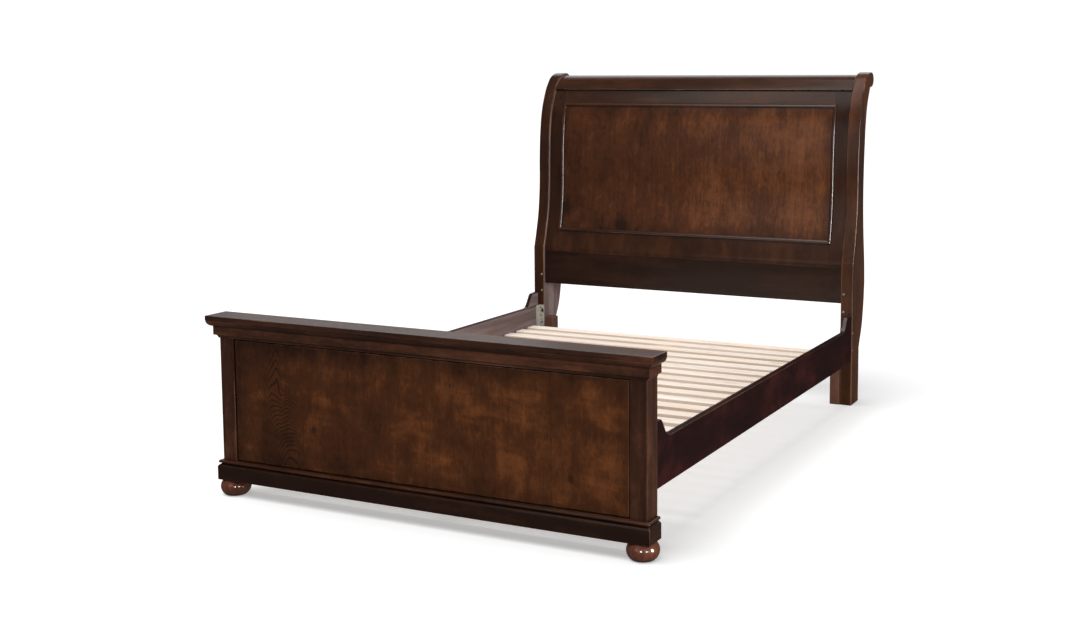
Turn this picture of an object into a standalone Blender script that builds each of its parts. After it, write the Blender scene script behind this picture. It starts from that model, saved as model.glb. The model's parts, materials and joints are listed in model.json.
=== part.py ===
"""A queen size sleigh bed: moulded footboard on bun feet, scrolled headboard, side rails and slats."""

import math

import bmesh
import bpy

# ---- Driving dimensions, in metres -------------------------------------------------------------

JOINT_GAP = 0.0003  # left between pieces that touch

# The space between footboard and headboard, for a 1.53 x 2.03 m mattress
RAIL_LENGTH = 2.083
RAIL_SPAN = 1.54  # between the rails' inner faces

# Footboard
FOOT_POST_OUTSET = 0.0125  # the posts' outer faces beyond the rails'
FOOT_DEPTH = 0.075
FOOT_HEIGHT = 0.630
FOOT_POST_WIDTH = 0.0575
FOOT_PANEL_RECESS = 0.004
FOOT_FRONT_PANEL = 0.018  # thickness
FOOT_BACK_PANEL = 0.012
BUN_HEIGHT = 0.055
BUN_RADIUS = 0.0515
BUN_SWELL = 0.040  # half height of the ball before its top and foot are cut flat
BUN_MIDDLE = 0.0285  # height of its widest part
BUN_INSET = 0.0265  # axis in from the post's outer face
BUN_FRONT_INSET = 0.028  # axis behind the post's front

CAP_THICKNESS = 0.018
CAP_OVERHANG = 0.034
CAP_BACK_SETBACK = 0.005
CROWN_HEIGHT = 0.019
FRIEZE_HEIGHT = 0.042
FRIEZE_OUT = 0.015
FRIEZE_COVE = 0.012
PLINTH_HEIGHT = 0.058
PLINTH_OUT = 0.015
PLINTH_OGEE = 0.012
BASE_BEAD_HEIGHT = 0.011
BASE_BEAD_OUT = 0.0125
MOULDING_STEP = 0.001  # a fillet's edge before a curve starts
CROWN_SWELL = (0.010, 0.002)  # out from the fillet and up, where the crown's curve is aimed
CROWN_LIP = (0.003, 0.008)  # in from the cap's edge and up, where it ends its swell
OGEE_FULLNESS = 0.006
MOULDING_QUIRK = 0.003  # the narrow flat between two mouldings

# Headboard
HEAD_POST_OUTSET = 0.004  # the posts' outer faces beyond the rails'
HEAD_HEIGHT = 1.466
HEAD_POST_WIDTH = 0.055
HEAD_LEG_DEPTH = 0.110
HEAD_LEG_HEIGHT = 0.243  # the straight part of the leg, at the back
HEAD_KNEE_HEIGHT = 0.625  # where the front starts to lean back
HEAD_HIP_HEIGHT = 0.530  # where the back swells furthest
ROLL_RADIUS = 0.033
ROLL_BACK = 0.250  # axis of the roll behind the post's straight front
CREST_HEIGHT = 0.079
ROLL_RISE = 0.020  # how far back the curve to the roll is aimed at its start
ROLL_LEAD = 0.038  # and how far before the roll's top it levels out
ROLL_NOTCH = 0.008  # under the roll, to where the posts' back starts
CREST_HOOK = 0.030  # how far the crest's underside reaches behind the field
CREST_STEP = 0.012  # the crest is this much smaller all round than the posts' rolls
FIELD_RECESS = 0.010  # the framed field behind the posts' front
FIELD_THICKNESS = 0.022
LOWER_BOARD_HEIGHT = 0.158
LOWER_BOARD_DROP = 0.015  # its top edge below the knee
HEAD_STILE_WIDTH = 0.069
HEAD_TOP_RAIL_HEIGHT = 0.072
HEAD_BOTTOM_RAIL_HEIGHT = 0.108
BEAD_WIDTH = 0.016
BEAD_PROUD = 0.008
BEAD_LAP = 0.009  # how far the bead lies over the frame
LEG_BLOCK_WIDTH = 0.044
LEG_BLOCK_DEPTH = 0.057
LEG_BLOCK_HEIGHT = 0.286
LEG_BLOCK_HOLE_RADIUS = 0.004
LEG_BLOCK_HOLE_DROP = 0.016  # below the block's top

# Side rails, hooks and slats
RAIL_THICKNESS = 0.025
RAIL_BOTTOM = 0.194
RAIL_HEIGHT = 0.147
EAR_HEIGHT = 0.065  # above the rail's top edge
EAR_FLAT = 0.045
EAR_LENGTH = 0.125
EAR_SHOULDER = 0.40  # share of the ear's fall before its curve turns down
EAR_FOOT = 0.42  # share of the fall at which the curve meets the rail's top
EAR_LEDGE = 0.007  # the ear stands back this far from the rail's inner face
CLEAT_WIDTH = 0.028
CLEAT_HEIGHT = 0.032
SLAT_DROP = 0.087  # the slats' tops below the rails'
SLAT_THICKNESS = 0.018
SLAT_WIDTH = 0.058
SLAT_COUNT = 19
SLAT_END_CLEARANCE = 0.004
SLAT_HEAD_CLEARANCE = 0.072  # from the headboard posts to the first slat
SLAT_FOOT_CLEARANCE = 0.041  # from the footboard posts to the last slat
BRACKET_THICKNESS = 0.003
BRACKET_FLANGE = 0.037
BRACKET_RISE = 0.046  # above the rail's lower edge
BRACKET_HEIGHT = 0.105
BRACKET_HOLE_RADIUS = 0.0045
BRACKET_HOLE_INSET = 0.020  # from the bracket's ends
CLEAT_END_CLEARANCE = 0.004  # from a bracket to the cleat

# Centre support
BEAM_WIDTH = 0.070
BEAM_HEIGHT = 0.090
BEAM_FOOT_CLEARANCE = 0.010
CENTRE_LEG_SIDE = 0.045
CENTRE_LEG_INSET = 0.180  # of the end legs from the beam's ends
CENTRE_LEG_COUNT = 3

# Edge rounding
BOARD_ROUND = 0.0015
CAP_ROUND = 0.0025
POST_ROUND = 0.003
SLAT_ROUND = 0.002

ALONG_X = (0.0, math.pi / 2, 0.0)
ALONG_Y = (math.pi / 2, 0.0, 0.0)

# The headboard's front above the knee: (share of the way up to the roll's axis, lean back)
FRONT_BENDS = (
    (0.0, 0.0),
    (0.093, 0.022),
    (0.217, 0.045),
    (0.365, 0.0575),
    (0.538, 0.0605),
    (0.687, 0.0685),
    (0.823, 0.0885),
    (0.941, 0.128),
    (1.0, 0.163),
)
# The posts' back from the leg to the hip: (share of the way up, depth added to the leg's)
BACK_BENDS_LOW = ((0.0, 0.0), (0.12, 0.016), (0.26, 0.0365), (0.41, 0.051), (0.71, 0.068))
# The posts' back from the hip to the roll: (share of the way up, depth behind the straight front)
BACK_BENDS_HIGH = (
    (0.0, 0.186),
    (0.11, 0.1785),
    (0.27, 0.158),
    (0.43, 0.1472),
    (0.59, 0.149),
    (0.74, 0.159),
    (0.845, 0.1705),
    (0.922, 0.1885),
    (1.0, 0.2240),
)

# ---- Sizes that follow -------------------------------------------------------------------------

OVERALL_LENGTH = CAP_OVERHANG + FOOT_DEPTH + RAIL_LENGTH + ROLL_BACK + ROLL_RADIUS
FOOT_FRONT = CAP_OVERHANG - OVERALL_LENGTH / 2
FOOT_BACK = FOOT_FRONT + FOOT_DEPTH
HEAD_FRONT = FOOT_BACK + RAIL_LENGTH

RAIL_INNER = RAIL_SPAN / 2
RAIL_OUTER = RAIL_INNER + RAIL_THICKNESS
RAIL_TOP = RAIL_BOTTOM + RAIL_HEIGHT
EAR_TOP = RAIL_TOP + EAR_HEIGHT

FOOT_HALF = RAIL_OUTER + FOOT_POST_OUTSET
FOOT_INNER = FOOT_HALF - FOOT_POST_WIDTH
CAP_BOTTOM = FOOT_HEIGHT - CAP_THICKNESS
CROWN_BOTTOM = CAP_BOTTOM - CROWN_HEIGHT
FRIEZE_BOTTOM = CROWN_BOTTOM - FRIEZE_HEIGHT
PLINTH_TOP = BUN_HEIGHT + PLINTH_HEIGHT
BASE_BEAD_TOP = PLINTH_TOP + BASE_BEAD_HEIGHT

HEAD_HALF = RAIL_OUTER + HEAD_POST_OUTSET
HEAD_INNER = HEAD_HALF - HEAD_POST_WIDTH
ROLL_AXIS = HEAD_HEIGHT - ROLL_RADIUS
CREST_BOTTOM = HEAD_HEIGHT - CREST_HEIGHT
NOTCH_HEIGHT = ROLL_AXIS - ROLL_RADIUS
LOWER_BOARD_TOP = HEAD_KNEE_HEIGHT - LOWER_BOARD_DROP
FIELD_BOTTOM = LOWER_BOARD_TOP + JOINT_GAP
BOTTOM_RAIL_TOP = FIELD_BOTTOM + HEAD_BOTTOM_RAIL_HEIGHT
FIELD_TOP = CREST_BOTTOM - JOINT_GAP
PANEL_HALF = HEAD_INNER - HEAD_STILE_WIDTH
PANEL_TOP = FIELD_TOP - HEAD_TOP_RAIL_HEIGHT

SLAT_TOP = RAIL_TOP - SLAT_DROP
SLAT_BOTTOM = SLAT_TOP - SLAT_THICKNESS
SLAT_FIRST = FOOT_BACK + SLAT_FOOT_CLEARANCE + SLAT_WIDTH / 2
SLAT_LAST = HEAD_FRONT - SLAT_HEAD_CLEARANCE - SLAT_WIDTH / 2
SLAT_PITCH = (SLAT_LAST - SLAT_FIRST) / (SLAT_COUNT - 1)
BRACKET_BOTTOM = RAIL_BOTTOM + BRACKET_RISE
BEAM_TOP = SLAT_BOTTOM - JOINT_GAP
BEAM_BOTTOM = BEAM_TOP - BEAM_HEIGHT
BEAM_FRONT = FOOT_BACK + BEAM_FOOT_CLEARANCE
BEAM_BACK = SLAT_LAST + SLAT_WIDTH / 2

# ---- Finishes: colour, roughness, metallic -----------------------------------------------------

DARK_STAIN = ((0.042, 0.017, 0.010), 0.38, 0.0)
PANEL_VENEER = ((0.085, 0.030, 0.012), 0.36, 0.0)
INNER_WOOD = ((0.100, 0.060, 0.038), 0.60, 0.0)
TURNED_STAIN = ((0.075, 0.022, 0.010), 0.16, 0.0)
PALE_PINE = ((0.700, 0.560, 0.400), 0.65, 0.0)
ZINC_STEEL = ((0.560, 0.560, 0.540), 0.40, 0.9)


def start_scene():
    for obj in list(bpy.data.objects):
        bpy.data.objects.remove(obj, do_unlink=True)
    found = []
    for name in ("sleigh_bed", "cutters"):
        collection = bpy.data.collections.new(name)
        bpy.context.scene.collection.children.link(collection)
        found.append(collection)
    return found


BED, CUTTERS = start_scene()


def add_finish(obj, finish):
    colour, roughness, metallic = finish
    material = bpy.data.materials.new(obj.name)
    material.use_nodes = True
    shader = material.node_tree.nodes["Principled BSDF"]
    shader.inputs["Base Color"].default_value = (*colour, 1.0)
    shader.inputs["Roughness"].default_value = roughness
    shader.inputs["Metallic"].default_value = metallic
    obj.data.materials.append(material)


def add_part(name, data, finish):
    obj = bpy.data.objects.new(name, data)
    BED.objects.link(obj)
    add_finish(obj, finish)
    return obj


def mesh_from(bm, name):
    bmesh.ops.recalc_face_normals(bm, faces=bm.faces)
    mesh = bpy.data.meshes.new(name)
    bm.to_mesh(mesh)
    bm.free()
    return mesh


def round_edges(obj, width, segments=1, angle=35.0):
    bevel = obj.modifiers.new("Rounded edges", "BEVEL")
    bevel.width = width
    bevel.segments = segments
    bevel.limit_method = "ANGLE"
    bevel.angle_limit = math.radians(angle)


def weld(obj):
    modifier = obj.modifiers.new("Weld caps", "WELD")
    modifier.merge_threshold = 0.00002


def board(name, x, y, z, finish, rounding=BOARD_ROUND, segments=1):
    """A squared board between pairs of faces across X, Y and Z."""
    bm = bmesh.new()
    bmesh.ops.create_cube(bm, size=1.0)
    spans = (x, y, z)
    bmesh.ops.scale(bm, vec=[high - low for low, high in spans], verts=bm.verts)
    obj = add_part(name, mesh_from(bm, name), finish)
    obj.location = [(low + high) / 2 for low, high in spans]
    round_edges(obj, rounding, segments)
    return obj


def flat_curve(name, outline, thickness):
    curve = bpy.data.curves.new(name, "CURVE")
    curve.dimensions = "2D"
    curve.fill_mode = "BOTH"
    curve.extrude = thickness / 2
    spline = curve.splines.new("POLY")
    spline.points.add(len(outline) - 1)
    for point, (across, up) in zip(spline.points, outline):
        point.co = (across, up, 0.0, 1.0)
    spline.use_cyclic_u = True
    return curve


def side_profile(name, outline, x, finish, rounding=BOARD_ROUND, segments=1):
    """A piece cut to an outline of (Y, Z) points, as thick as the pair of faces across X."""
    obj = add_part(name, flat_curve(name, outline, x[1] - x[0]), finish)
    obj.rotation_euler = (math.pi / 2, 0.0, math.pi / 2)
    obj.location.x = (x[0] + x[1]) / 2
    weld(obj)
    round_edges(obj, rounding, segments)
    return obj


def sides(inner, outer):
    """Left and right, each with its pair of X faces, from distances off the middle."""
    return (("left", (-outer, -inner)), ("right", (inner, outer)))


def arc(centre, radius, start, end, steps):
    """Points from one angle to another, in degrees, both ends included."""
    points = []
    for step in range(steps + 1):
        turn = math.radians(start + (end - start) * step / steps)
        points.append((centre[0] + radius * math.cos(turn), centre[1] + radius * math.sin(turn)))
    return points


def bezier(a, b, c, d, steps):
    """Points along one Bezier span, without its first."""
    points = []
    for step in range(1, steps + 1):
        t = step / steps
        weights = ((1 - t) ** 3, 3 * t * (1 - t) ** 2, 3 * t * t * (1 - t), t**3)
        points.append(tuple(sum(w * p[i] for w, p in zip(weights, (a, b, c, d))) for i in (0, 1)))
    return points


def smooth(knots, at):
    """The value at a place on a smooth curve through (place, value) knots."""
    last = len(knots) - 1
    span = next((i for i in range(last) if at <= knots[i + 1][0]), last - 1)

    def slope(i):
        before, after = max(i - 1, 0), min(i + 1, last)
        return (knots[after][1] - knots[before][1]) / (knots[after][0] - knots[before][0])

    (x0, y0), (x1, y1) = knots[span], knots[span + 1]
    width = x1 - x0
    t = (at - x0) / width
    return (
        y0 * (1 + 2 * t) * (1 - t) ** 2
        + slope(span) * width * t * (1 - t) ** 2
        + y1 * t * t * (3 - 2 * t)
        + slope(span + 1) * width * t * t * (t - 1)
    )


def spread(low, high, steps):
    return [low + (high - low) * step / steps for step in range(steps + 1)]


# ---- Headboard curves --------------------------------------------------------------------------


def front_at(z):
    """Y of the posts' front at a height, up to the roll's axis."""
    share = (z - HEAD_KNEE_HEIGHT) / (ROLL_AXIS - HEAD_KNEE_HEIGHT)
    return HEAD_FRONT + (smooth(FRONT_BENDS, share) if share > 0 else 0.0)


def roll_outline(inset):
    """From the front at the roll's axis over the top and round to the roll's underside."""
    start = (front_at(ROLL_AXIS) + inset, ROLL_AXIS)
    centre = (HEAD_FRONT + ROLL_BACK, ROLL_AXIS)
    radius = ROLL_RADIUS - inset
    top = (centre[0], centre[1] + radius)
    rise = bezier(
        start,
        (start[0] + ROLL_RISE, start[1] + 0.6 * radius),
        (top[0] - ROLL_LEAD, top[1]),
        top,
        5,
    )
    return [start] + rise + arc(centre, radius, 90, -90, 12)[1:]


def post_outline():
    points = [(HEAD_FRONT, 0.0)]
    points += [(front_at(z), z) for z in spread(HEAD_KNEE_HEIGHT, ROLL_AXIS, 20)[:-1]]
    points += roll_outline(0.0)
    notch = HEAD_FRONT + BACK_BENDS_HIGH[-1][1] + ROLL_NOTCH
    points.append((notch, NOTCH_HEIGHT - MOULDING_STEP))
    back_top = NOTCH_HEIGHT - ROLL_NOTCH - MOULDING_STEP
    for share in reversed(spread(0.0, 1.0, 18)):
        z = HEAD_HIP_HEIGHT + share * (back_top - HEAD_HIP_HEIGHT)
        points.append((HEAD_FRONT + smooth(BACK_BENDS_HIGH, share), z))
    low = BACK_BENDS_LOW + ((1.0, BACK_BENDS_HIGH[0][1] - HEAD_LEG_DEPTH),)
    for share in reversed(spread(0.0, 1.0, 10)[:-1]):
        z = HEAD_LEG_HEIGHT + share * (HEAD_HIP_HEIGHT - HEAD_LEG_HEIGHT)
        points.append((HEAD_FRONT + HEAD_LEG_DEPTH + smooth(low, share), z))
    points.append((HEAD_FRONT + HEAD_LEG_DEPTH, 0.0))
    return points


def field_outline(low, high, front, back, steps):
    """A bent board between two heights, its faces set back from the posts' front."""
    levels = spread(low, high, steps)
    outline = [(front_at(z) + front, z) for z in levels]
    return outline + [(front_at(z) + back, z) for z in reversed(levels)]


def bent_field(name, low, high, x, finish, steps):
    back = FIELD_RECESS + FIELD_THICKNESS
    return side_profile(name, field_outline(low, high, FIELD_RECESS, back, steps), x, finish)


def as_mesh(obj):
    """A curve piece as the mesh that it shows, so that it can be cut."""
    graph = bpy.context.evaluated_depsgraph_get()
    mesh = bpy.data.meshes.new_from_object(obj.evaluated_get(graph))
    name, placed = obj.name, obj.evaluated_get(graph).matrix_world.copy()
    bpy.data.objects.remove(obj)
    piece = bpy.data.objects.new(name, mesh)
    BED.objects.link(piece)
    piece.matrix_world = placed
    return piece


def cut_away(obj, bm, centre, turn=(0.0, 0.0, 0.0)):
    """Subtracts a shape from a piece, through a hidden cutter."""
    name = f"{obj.name}_cut_{len(obj.modifiers)}"
    cutter = bpy.data.objects.new(name, mesh_from(bm, name))
    CUTTERS.objects.link(cutter)
    cutter.location = centre
    cutter.rotation_euler = turn
    cutter.hide_render = True
    cutter.display_type = "WIRE"
    hole = obj.modifiers.new(name, "BOOLEAN")
    hole.operation = "DIFFERENCE"
    hole.solver = "EXACT"
    hole.object = cutter


def bore(obj, radius, depth, centre, turn):
    """Cuts a round hole through a piece, along X or Y."""
    bm = bmesh.new()
    bmesh.ops.create_cone(
        bm, cap_ends=True, segments=16, radius1=radius, radius2=radius, depth=depth
    )
    cut_away(obj, bm, centre, turn)


def rebate(obj, size, centre):
    """Cuts a square step out of a piece."""
    bm = bmesh.new()
    bmesh.ops.create_cube(bm, size=1.0)
    bmesh.ops.scale(bm, vec=size, verts=bm.verts)
    cut_away(obj, bm, centre)


# ---- Footboard ---------------------------------------------------------------------------------


def mitred_moulding(name, profile, finish):
    """A moulding round the front and both sides of the footboard, lofted through its mitres.

    The profile is a ring of (out from the posts, Z) points."""
    back = FOOT_BACK - CAP_BACK_SETBACK
    bm = bmesh.new()
    rings = []
    for side, at_front in ((-1, False), (-1, True), (1, True), (1, False)):
        ring = []
        for out, z in profile:
            reach = out + JOINT_GAP
            y = FOOT_FRONT - reach if at_front else back
            ring.append(bm.verts.new((side * (FOOT_HALF + reach), y, z)))
        rings.append(ring)
    for near, far in zip(rings, rings[1:]):
        for i in range(len(profile)):
            after = (i + 1) % len(profile)
            bm.faces.new((near[i], near[after], far[after], far[i]))
    bm.faces.new(rings[0])
    bm.faces.new(rings[-1])
    return add_part(name, mesh_from(bm, name), finish)


def make_footboard_mouldings():
    back = FOOT_BACK - CAP_BACK_SETBACK
    half = FOOT_HALF + CAP_OVERHANG
    board(
        "foot_cap",
        (-half, half),
        (FOOT_FRONT - CAP_OVERHANG, back),
        (CAP_BOTTOM, FOOT_HEIGHT),
        DARK_STAIN,
        CAP_ROUND,
        3,
    )
    top = CAP_BOTTOM - JOINT_GAP
    hollow = bezier(
        (FRIEZE_OUT + MOULDING_STEP, CROWN_BOTTOM),
        (FRIEZE_OUT + CROWN_SWELL[0], CROWN_BOTTOM + CROWN_SWELL[1]),
        (CAP_OVERHANG - CROWN_LIP[0], CROWN_BOTTOM + CROWN_LIP[1]),
        (CAP_OVERHANG - MOULDING_STEP, top),
        6,
    )
    mitred_moulding(
        "foot_crown",
        [(0.0, CROWN_BOTTOM), (FRIEZE_OUT + MOULDING_STEP, CROWN_BOTTOM)] + hollow + [(0.0, top)],
        DARK_STAIN,
    )
    top = CROWN_BOTTOM - JOINT_GAP
    cove = arc((FRIEZE_OUT, FRIEZE_BOTTOM), FRIEZE_COVE, 180, 90, 5)
    mitred_moulding(
        "foot_frieze",
        [(0.0, FRIEZE_BOTTOM)] + cove + [(FRIEZE_OUT, top), (0.0, top)],
        DARK_STAIN,
    )
    nose = BASE_BEAD_HEIGHT / 2
    bead = arc((BASE_BEAD_OUT - nose, PLINTH_TOP + nose), nose - JOINT_GAP, -90, 90, 8)
    mitred_moulding(
        "foot_base_bead", [(0.0, bead[0][1])] + bead + [(0.0, bead[-1][1])], DARK_STAIN
    )
    top = PLINTH_TOP
    ogee = bezier(
        (PLINTH_OUT, top - PLINTH_OGEE),
        (PLINTH_OUT - MOULDING_STEP, top - PLINTH_OGEE / 2),
        (MOULDING_QUIRK + OGEE_FULLNESS, top - PLINTH_OGEE / 2),
        (MOULDING_QUIRK, top),
        6,
    )
    mitred_moulding(
        "foot_plinth",
        [(0.0, BUN_HEIGHT), (PLINTH_OUT, BUN_HEIGHT), (PLINTH_OUT, top - PLINTH_OGEE)]
        + ogee
        + [(0.0, top)],
        DARK_STAIN,
    )


def make_footboard_carcass():
    y = (FOOT_FRONT, FOOT_BACK)
    top = CAP_BOTTOM - JOINT_GAP
    for side, x in sides(FOOT_INNER, FOOT_HALF):
        board(f"foot_post_{side}", x, y, (BUN_HEIGHT, top), DARK_STAIN)
    between = (-FOOT_INNER + JOINT_GAP, FOOT_INNER - JOINT_GAP)
    board("foot_top_rail", between, y, (FRIEZE_BOTTOM, top), DARK_STAIN)
    board("foot_bottom_rail", between, y, (BUN_HEIGHT, BASE_BEAD_TOP), DARK_STAIN)
    height = (BASE_BEAD_TOP + JOINT_GAP, FRIEZE_BOTTOM - JOINT_GAP)
    front = FOOT_FRONT + FOOT_PANEL_RECESS
    board("foot_front_panel", between, (front, front + FOOT_FRONT_PANEL), height, PANEL_VENEER)
    back = FOOT_BACK - FOOT_PANEL_RECESS
    board("foot_back_panel", between, (back - FOOT_BACK_PANEL, back), height, PANEL_VENEER)


def bun_mesh():
    """The half section of a squashed ball with a flat top and foot, from the top down."""
    top = BUN_HEIGHT - JOINT_GAP
    highest = math.asin((top - BUN_MIDDLE) / BUN_SWELL)
    lowest = -math.asin(BUN_MIDDLE / BUN_SWELL)
    section = [(0.0, top)]
    for turn in spread(highest, lowest, 16):
        section.append((BUN_RADIUS * math.cos(turn), BUN_MIDDLE + BUN_SWELL * math.sin(turn)))
    section.append((0.0, 0.0))
    bm = bmesh.new()
    points = [bm.verts.new((r, 0.0, z)) for r, z in section]
    for above, below in zip(points, points[1:]):
        bm.edges.new((above, below))
    mesh = bpy.data.meshes.new("bun_foot")
    bm.to_mesh(mesh)
    bm.free()
    return mesh


def make_bun_feet():
    mesh = bun_mesh()
    for side, sign in (("left", -1), ("right", 1)):
        obj = add_part(f"bun_foot_{side}", mesh.copy(), TURNED_STAIN)
        obj.location = (sign * (FOOT_HALF - BUN_INSET), FOOT_FRONT + BUN_FRONT_INSET, 0.0)
        screw = obj.modifiers.new("Turned", "SCREW")
        screw.steps = 32
        screw.render_steps = 32
        screw.use_merge_vertices = True
        screw.merge_threshold = 0.00005
        screw.use_smooth_shade = True


# ---- Headboard ---------------------------------------------------------------------------------


def make_headboard_posts():
    outline = post_outline()
    for side, x in sides(HEAD_INNER, HEAD_HALF):
        side_profile(f"head_post_{side}", outline, x, DARK_STAIN, POST_ROUND, 2)
    hole_z = LEG_BLOCK_HEIGHT - LEG_BLOCK_HOLE_DROP
    for side, x in sides(HEAD_INNER - LEG_BLOCK_WIDTH, HEAD_INNER - JOINT_GAP):
        block = board(
            f"head_leg_block_{side}",
            x,
            (HEAD_FRONT, HEAD_FRONT + LEG_BLOCK_DEPTH),
            (0.0, LEG_BLOCK_HEIGHT),
            DARK_STAIN,
        )
        middle = ((x[0] + x[1]) / 2, HEAD_FRONT + LEG_BLOCK_DEPTH / 2, hole_z)
        bore(block, LEG_BLOCK_HOLE_RADIUS, 2 * LEG_BLOCK_WIDTH, middle, ALONG_X)


def make_headboard_field():
    inner = HEAD_INNER - JOINT_GAP
    panel = PANEL_HALF - JOINT_GAP
    back = HEAD_FRONT + FIELD_RECESS + FIELD_THICKNESS
    board(
        "head_lower_board",
        (-inner, inner),
        (HEAD_FRONT + FIELD_RECESS, back),
        (LOWER_BOARD_TOP - LOWER_BOARD_HEIGHT, LOWER_BOARD_TOP),
        DARK_STAIN,
    )
    for side, x in sides(PANEL_HALF, inner):
        bent_field(f"head_stile_{side}", FIELD_BOTTOM, FIELD_TOP, x, DARK_STAIN, 22)
    span = (-panel, panel)
    rail_top = BOTTOM_RAIL_TOP
    bent_field("head_bottom_rail", FIELD_BOTTOM, rail_top, span, DARK_STAIN, 5)
    bent_field(
        "head_panel", rail_top + JOINT_GAP, PANEL_TOP - JOINT_GAP, span, PANEL_VENEER, 18
    )
    bent_field("head_top_rail", PANEL_TOP, FIELD_TOP, span, DARK_STAIN, 5)


def make_headboard_beads():
    """Half-round beads lying over the joints round the panel, mitred into each other."""
    back = FIELD_RECESS - JOINT_GAP
    low = BOTTOM_RAIL_TOP - BEAD_LAP
    high = PANEL_TOP + BEAD_LAP
    outer = PANEL_HALF + BEAD_LAP
    section = [(BEAD_WIDTH / 2 * (1 - math.cos(math.radians(a))), math.sin(math.radians(a)))
               for a in range(0, 181, 30)]

    def ring(bm, corner, inward):
        """The bead's section at a point of the frame, at (X, Z), running inward from it."""
        found = []
        for across, proud in section:
            x = corner[0] + inward[0] * across
            z = corner[1] + inward[1] * across
            found.append(bm.verts.new((x, front_at(z) + back - proud * BEAD_PROUD, z)))
        return found

    def strip(name, stations):
        bm = bmesh.new()
        rings = [ring(bm, corner, inward) for corner, inward in stations]
        for near, far in zip(rings, rings[1:]):
            for i in range(len(section)):
                after = (i + 1) % len(section)
                bm.faces.new((near[i], near[after], far[after], far[i]))
        bm.faces.new(rings[0])
        bm.faces.new(rings[-1])
        add_part(name, mesh_from(bm, name), DARK_STAIN)

    gap = JOINT_GAP
    for side, sign in (("left", -1), ("right", 1)):
        x = sign * outer
        stations = [((x, low + gap), (-sign, 1.0))]
        inner_levels = spread(low + BEAD_WIDTH, high - BEAD_WIDTH, 18)
        stations += [((x, z), (-sign, 0.0)) for z in inner_levels]
        stations.append(((x, high - gap), (-sign, -1.0)))
        strip(f"head_bead_{side}", stations)
    for name, z, up in (("bottom", low, 1.0), ("top", high, -1.0)):
        reach = outer - gap
        strip(
            f"head_bead_{name}",
            [((-reach, z), (1.0, up)), ((reach, z), (-1.0, up))],
        )


def make_crest():
    """The rolled top rail between the posts."""
    levels = spread(CREST_BOTTOM, ROLL_AXIS, 4)[:-1]
    inset = CREST_STEP
    outline = [(front_at(z) + inset * share / 4, z) for share, z in enumerate(levels)]
    outline += roll_outline(inset)
    under = ROLL_AXIS - ROLL_RADIUS + inset
    hook = front_at(under) + FIELD_RECESS + FIELD_THICKNESS + CREST_HOOK
    outline.append((hook, under))
    outline.append((front_at(CREST_BOTTOM) + FIELD_RECESS + FIELD_THICKNESS, CREST_BOTTOM))
    inner = HEAD_INNER - JOINT_GAP
    side_profile("head_crest", outline, (-inner, inner), DARK_STAIN)


# ---- Rails, hardware and slats -----------------------------------------------------------------


def rail_outline():
    front, back = FOOT_BACK + JOINT_GAP, HEAD_FRONT - JOINT_GAP
    fall = EAR_LENGTH - EAR_FLAT
    ear = [(EAR_FLAT, EAR_TOP)] + bezier(
        (EAR_FLAT, EAR_TOP),
        (EAR_FLAT + EAR_SHOULDER * fall, EAR_TOP),
        (EAR_FLAT + EAR_FOOT * fall, RAIL_TOP),
        (EAR_LENGTH, RAIL_TOP),
        10,
    )
    outline = [(front, RAIL_BOTTOM), (back, RAIL_BOTTOM), (back, EAR_TOP)]
    outline += [(back - along, z) for along, z in ear]
    outline += [(front + along, z) for along, z in reversed(ear)]
    outline.append((front, EAR_TOP))
    return outline


def make_rails():
    outline = rail_outline()
    ends = JOINT_GAP + BRACKET_FLANGE + CLEAT_END_CLEARANCE
    cleat_top = SLAT_BOTTOM - JOINT_GAP
    for side, sign in (("left", -1), ("right", 1)):
        x = sorted((sign * RAIL_INNER, sign * RAIL_OUTER))
        rail = as_mesh(
            side_profile(f"side_rail_{side}", outline, x, DARK_STAIN, BOARD_ROUND, 2)
        )
        # twice the ledge's width, centred on the inner face, from the rail's top up
        size = (2 * EAR_LEDGE, 2 * RAIL_LENGTH, 2 * EAR_HEIGHT)
        rebate(rail, size, (sign * RAIL_INNER, 0.0, RAIL_TOP + JOINT_GAP + EAR_HEIGHT))
    for side, x in sides(RAIL_INNER - CLEAT_WIDTH, RAIL_INNER - JOINT_GAP):
        board(
            f"slat_cleat_{side}",
            x,
            (FOOT_BACK + ends, HEAD_FRONT - ends),
            (cleat_top - CLEAT_HEIGHT, cleat_top),
            INNER_WOOD,
        )


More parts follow.
